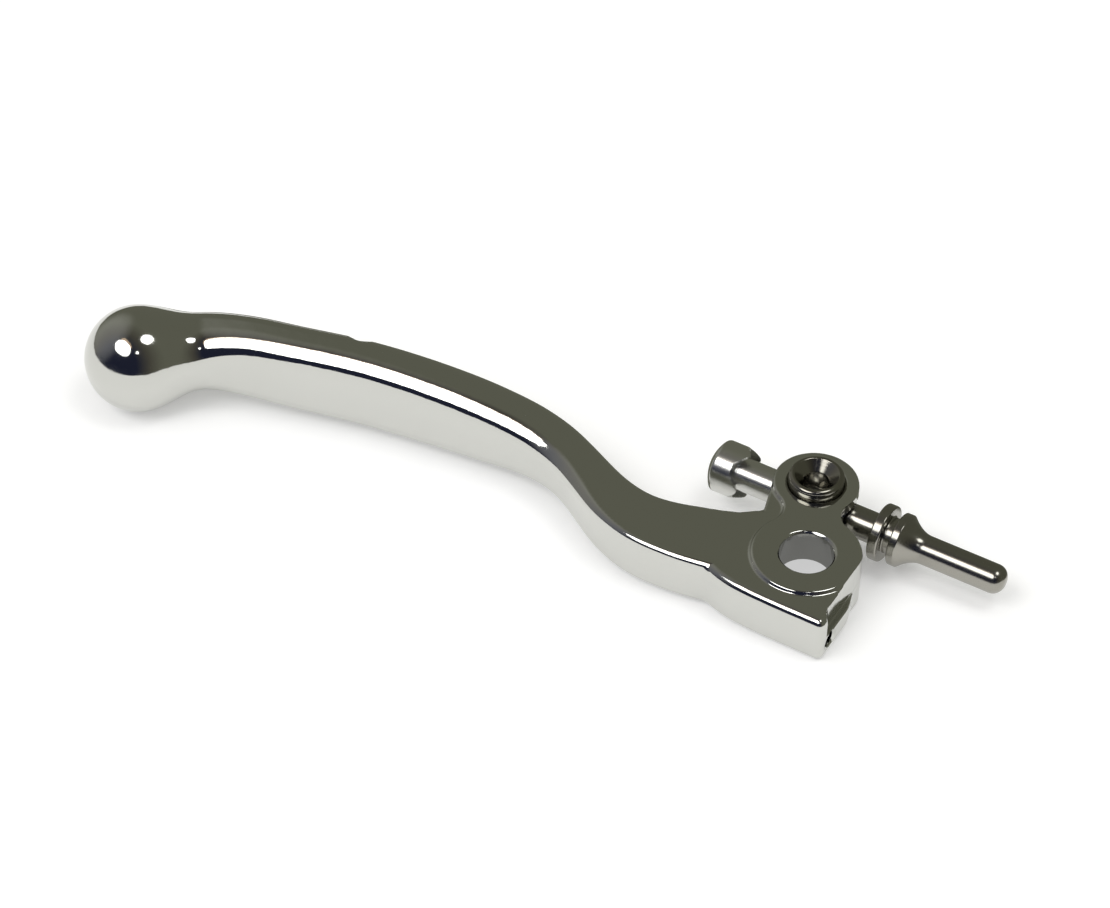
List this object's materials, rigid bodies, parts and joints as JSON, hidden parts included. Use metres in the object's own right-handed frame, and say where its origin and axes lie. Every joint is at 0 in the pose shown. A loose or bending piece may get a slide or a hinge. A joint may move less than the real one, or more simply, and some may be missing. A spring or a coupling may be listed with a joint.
{
  "type": "motorcycle clutch lever",
  "caption": "Polished lever with a ball end, a pivot bore and an eye holding a swivelling barrel with a screw-adjusted pushrod.",
  "frame": {"origin": "on the axis of the pivot bore, at half the thickness of the flat blade", "axes": "+Z along the pivot axis, out of the raised face; +X along the pushrod, towards its tip; the fingers pull on the -Y side"},
  "size_m": [0.1801, 0.0515, 0.021],
  "materials": {
    "polished_aluminium": "mirror polished, with faint scuffs",
    "dark_turned_steel": "turned and polished",
    "turned_aluminium": "bright turned",
    "stainless_steel": "turned, satin to bright",
    "nylon": "natural",
    "black_steel": "black oxide"
  },
  "bodies": {
    "lever": {"lever": "polished_aluminium"},
    "barrel": {"barrel": "dark_turned_steel", "friction_pad": "nylon", "grub_screw": "black_steel"},
    "pushrod": {"pushrod": "stainless_steel"},
    "adjuster": {"adjuster_knob": "turned_aluminium"}
  },
  "joints": [
    {"name": "barrel_swivel", "type": "hinge", "parent": "lever", "child": "barrel", "pos_m": [-0.0069, 0.0168, 0], "axis": [0, 0, 1], "range_deg": [-8, 8]},
    {"name": "pushrod_travel", "type": "slide", "parent": "barrel", "child": "pushrod", "axis": [1, 0, 0], "range_m": [-0.0025, 0.004]},
    {"name": "adjuster_turn", "type": "hinge", "parent": "pushrod", "child": "adjuster", "pos_m": [-0.0209, 0.0168, 0], "axis": [1, 0, 0], "range_deg": [-900, 1440]}
  ],
  "couplings": [
    {"joint": "adjuster_turn", "follows": "pushrod_travel", "rad_per_m": 6283.2}
  ]
}
